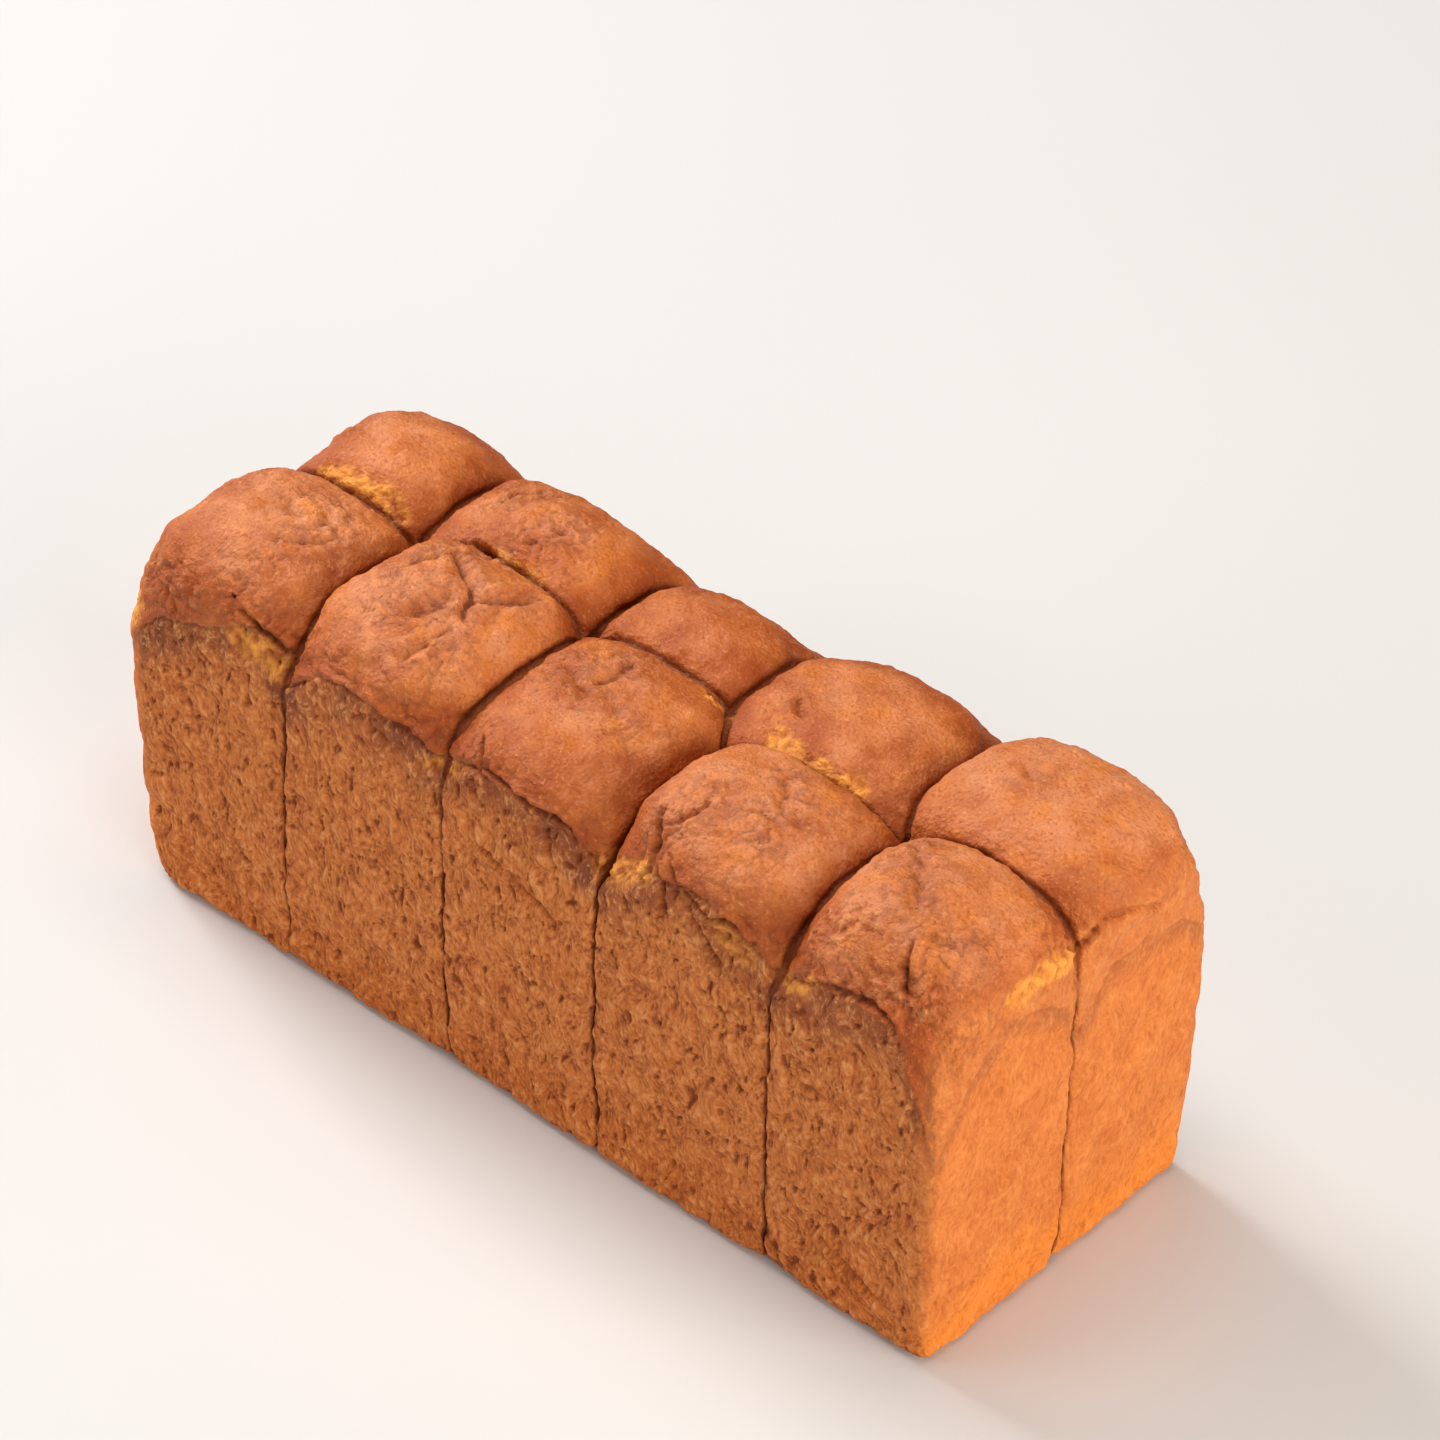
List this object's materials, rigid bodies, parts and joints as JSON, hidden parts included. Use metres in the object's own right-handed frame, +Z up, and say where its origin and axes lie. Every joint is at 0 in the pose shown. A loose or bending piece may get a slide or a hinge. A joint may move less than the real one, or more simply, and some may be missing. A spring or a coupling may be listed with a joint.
{
  "type": "tin loaf",
  "caption": "Pull-apart tin loaf: two rows of rounded rolls risen together on straight baked walls, with creased brown crowns and deep grooves between them.",
  "frame": {"origin": "on the flat base, under the middle of the loaf", "axes": "+X along the loaf, +Y from the front row to the back row, +Z up out of the crowns"},
  "size_m": [0.2915, 0.1127, 0.1357],
  "materials": {
    "crust": "baked golden-brown crust, soft satin on the crowns and dry and porous on the walls"
  },
  "bodies": {
    "root": {"loaf": "crust"}
  },
  "joints": []
}
